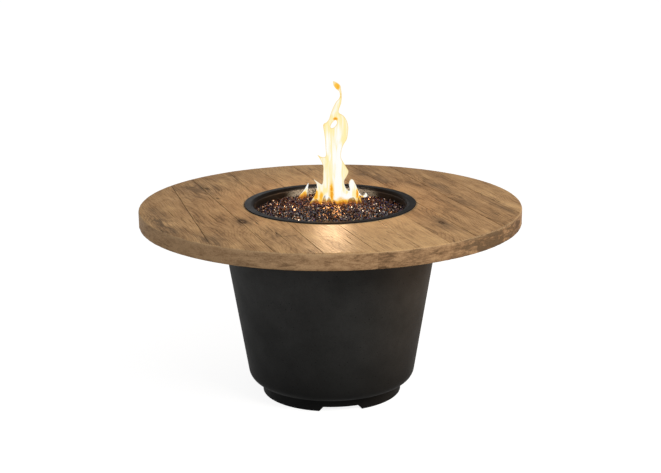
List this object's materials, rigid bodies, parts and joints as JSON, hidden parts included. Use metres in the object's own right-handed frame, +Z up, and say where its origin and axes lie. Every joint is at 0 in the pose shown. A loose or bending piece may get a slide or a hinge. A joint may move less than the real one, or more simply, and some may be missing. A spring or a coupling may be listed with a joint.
{
  "type": "gas fire pit table",
  "caption": "Round gas fire pit table: plank-faced concrete top on a tapered black pedestal, drop-in burner pan with fire glass, valve key and rear service door.",
  "frame": {"origin": "on the floor, under the middle of the round top", "axes": "+Z up; the front that the picture shows faces -Y, the service door faces +Y"},
  "size_m": [1.219, 1.219, 1.0123],
  "materials": {
    "plank_concrete": "wood-grain textured cast glass-fibre concrete, stained oak brown, matt sealer",
    "black_concrete": "smooth cast glass-fibre concrete, stained black, matt",
    "black_steel": "sheet steel, heat-proof satin black paint",
    "stainless": "stainless steel, brushed",
    "zinc_steel": "steel fastener, zinc plated",
    "pipe_steel": "black pipe steel",
    "brass": "machined brass",
    "rubber": "moulded rubber",
    "gasket_tape": "woven glass-fibre heat tape",
    "black_plastic": "moulded heat-proof plastic",
    "fire_glass": "tumbled bronze fire glass",
    "flame": "burning gas, glowing"
  },
  "bodies": {
    "table": {"table_top": "plank_concrete", "pedestal": "black_concrete", "support_pads": "rubber", "slab_inserts": "brass", "slab_bolts": "zinc_steel", "bolt_washers": "zinc_steel", "burner_pan": "black_steel", "pan_gasket": "gasket_tape", "burner": "stainless", "pan_locknuts": "brass", "gas_nipple": "pipe_steel", "air_mixer": "brass", "gas_hose": "stainless", "hose_nuts": "brass", "valve_body": "brass", "valve_locknut": "brass", "gas_inlet": "brass", "gas_outlet": "brass", "valve_plate": "stainless", "plate_screws": "zinc_steel", "pivot_bushes": "brass", "fire_glass": "fire_glass", "flame": "flame"},
    "door": {"access_door": "black_concrete", "door_pins": "stainless", "latch_bush": "zinc_steel"},
    "latch": {"latch_knob": "black_plastic", "latch_cam": "zinc_steel", "latch_nut": "zinc_steel"},
    "spindle": {"valve_stem": "brass"},
    "key": {"valve_key": "zinc_steel", "key_bar": "zinc_steel"}
  },
  "joints": [
    {"name": "door_hinge", "type": "hinge", "parent": "table", "child": "door", "pos_m": [-0.11, 0.2506, 0.15], "axis": [0, 0.1719, 0.9851], "range_deg": [0, 110]},
    {"name": "latch_turn", "type": "hinge", "parent": "door", "child": "latch", "pos_m": [0.1, 0.28971, 0.29], "axis": [-0.3221, -0.9331, 0.1599], "range_deg": [0, 90]},
    {"name": "valve_turn", "type": "hinge", "parent": "table", "child": "spindle", "pos_m": [0.24867, 0.18943, 0.32779], "axis": [0.7852, 0.5982, -0.1598], "range_deg": [0, 90]},
    {"name": "key_pull", "type": "slide", "parent": "spindle", "child": "key", "axis": [0.7852, 0.5982, -0.1598], "range_m": [0, 0.09]}
  ]
}
